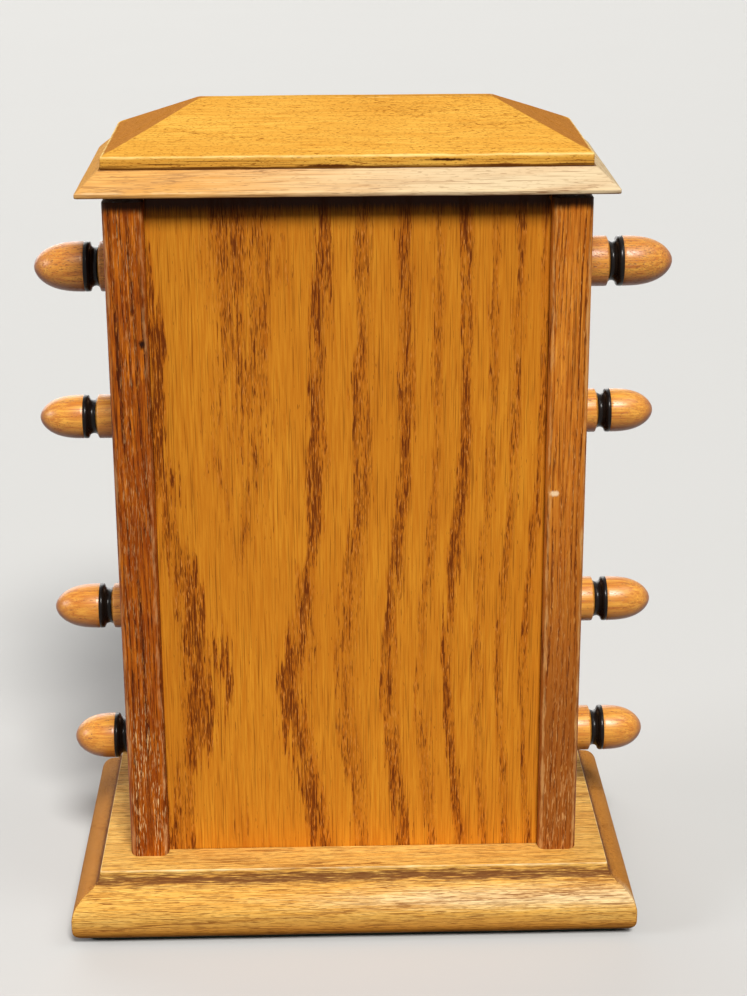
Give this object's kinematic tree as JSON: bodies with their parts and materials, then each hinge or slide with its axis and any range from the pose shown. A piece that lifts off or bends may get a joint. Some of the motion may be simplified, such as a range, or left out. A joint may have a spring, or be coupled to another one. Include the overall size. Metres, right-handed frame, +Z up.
{
  "type": "perpetual desk calendar",
  "caption": "Oak desk calendar: case on a moulded base with a hipped lid, and four turned spindles through the sides that carry day and month drums and a date scroll.",
  "frame": {"origin": "middle of the foot, on the surface the calendar stands on", "axes": "+Z up; the windowed front looks towards -Y and the plain back towards +Y; the spindles run along X"},
  "size_m": [0.221, 0.119, 0.2901],
  "materials": {
    "oak_base": "satin varnish, golden oak",
    "oak_side": "gloss varnish, red-brown oak",
    "oak_panel": "gloss varnish, honey oak",
    "oak_lid": "gloss varnish, golden oak",
    "oak_cornice": "worn varnish, pale oak",
    "inner_wood": "bare softwood",
    "turned_wood": "semi-gloss, with ebonised necks and rings",
    "drum_wood": "bare turned softwood",
    "printed_paper": "printed paper band, aged",
    "printed_linen": "printed linen scroll, aged",
    "glass": "clear sheet glass",
    "baize": "green baize",
    "steel_screw": "dull steel"
  },
  "bodies": {
    "case": {"base_board": "oak_base", "base_baize": "baize", "base_screws": "steel_screw", "left_side_board": "oak_side", "right_side_board": "oak_side", "front_panel": "oak_panel", "back_panel": "oak_panel", "case_top_board": "inner_wood", "glue_blocks": "inner_wood", "lid_cornice_board": "oak_cornice", "lid_top_board": "oak_lid", "lid_screws": "steel_screw", "day_glass": "glass", "date_glass": "glass", "month_glass": "glass", "day_glass_beads": "oak_panel", "date_glass_beads": "oak_panel", "month_glass_beads": "oak_panel", "date_web": "printed_linen"},
    "day_reel": {"day_spindle": "turned_wood", "day_drum": "drum_wood", "day_band": "printed_paper", "day_pegs": "inner_wood"},
    "upper_reel": {"upper_spindle": "turned_wood", "upper_roller": "drum_wood", "upper_roll": "printed_linen", "upper_pegs": "inner_wood"},
    "lower_reel": {"lower_spindle": "turned_wood", "lower_roller": "drum_wood", "lower_roll": "printed_linen", "lower_pegs": "inner_wood"},
    "month_reel": {"month_spindle": "turned_wood", "month_drum": "drum_wood", "month_band": "printed_paper", "month_pegs": "inner_wood"}
  },
  "joints": [
    {"name": "day_turn", "type": "hinge", "parent": "case", "child": "day_reel", "pos_m": [0, 0, 0.23255], "axis": [1, 0, 0], "continuous": true},
    {"name": "upper_turn", "type": "hinge", "parent": "case", "child": "upper_reel", "pos_m": [0, 0, 0.17855], "axis": [1, 0, 0], "range_deg": [-2050, 2050]},
    {"name": "lower_turn", "type": "hinge", "parent": "case", "child": "lower_reel", "pos_m": [0, 0, 0.10655], "axis": [1, 0, 0], "range_deg": [-2050, 2050]},
    {"name": "month_turn", "type": "hinge", "parent": "case", "child": "month_reel", "pos_m": [0, 0, 0.05455], "axis": [1, 0, 0], "continuous": true}
  ],
  "couplings": [
    {"joint": "lower_turn", "follows": "upper_turn", "ratio": 1}
  ]
}
